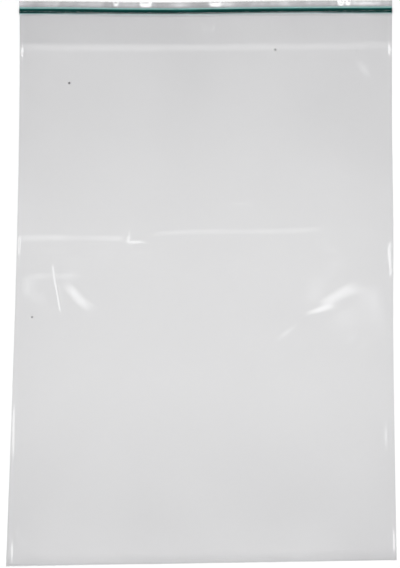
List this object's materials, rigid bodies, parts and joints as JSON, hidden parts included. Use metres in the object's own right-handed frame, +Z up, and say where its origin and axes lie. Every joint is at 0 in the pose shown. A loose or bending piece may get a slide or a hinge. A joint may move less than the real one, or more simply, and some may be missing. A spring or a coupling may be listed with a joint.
{
  "type": "resealable zipper bag",
  "caption": "Flat resealable pouch of clear film, folded at the bottom and welded at the sides, with a coloured press-to-close strip pair below its open lips.",
  "frame": {"origin": "middle of the bag on the surface that its back panel lies on", "axes": "+X across the bag, +Y from the folded bottom to the mouth, +Z up through the front panel"},
  "size_m": [0.2004, 0.3, 0.0031],
  "materials": {
    "clear_film": "clear, slightly hazy low-density polyethylene film, glossy",
    "green_strip": "dark green polyethylene, satin"
  },
  "bodies": {
    "root": {"bag_film": "clear_film", "zip_groove_strip": "green_strip", "zip_rib_strip": "green_strip"}
  },
  "joints": []
}
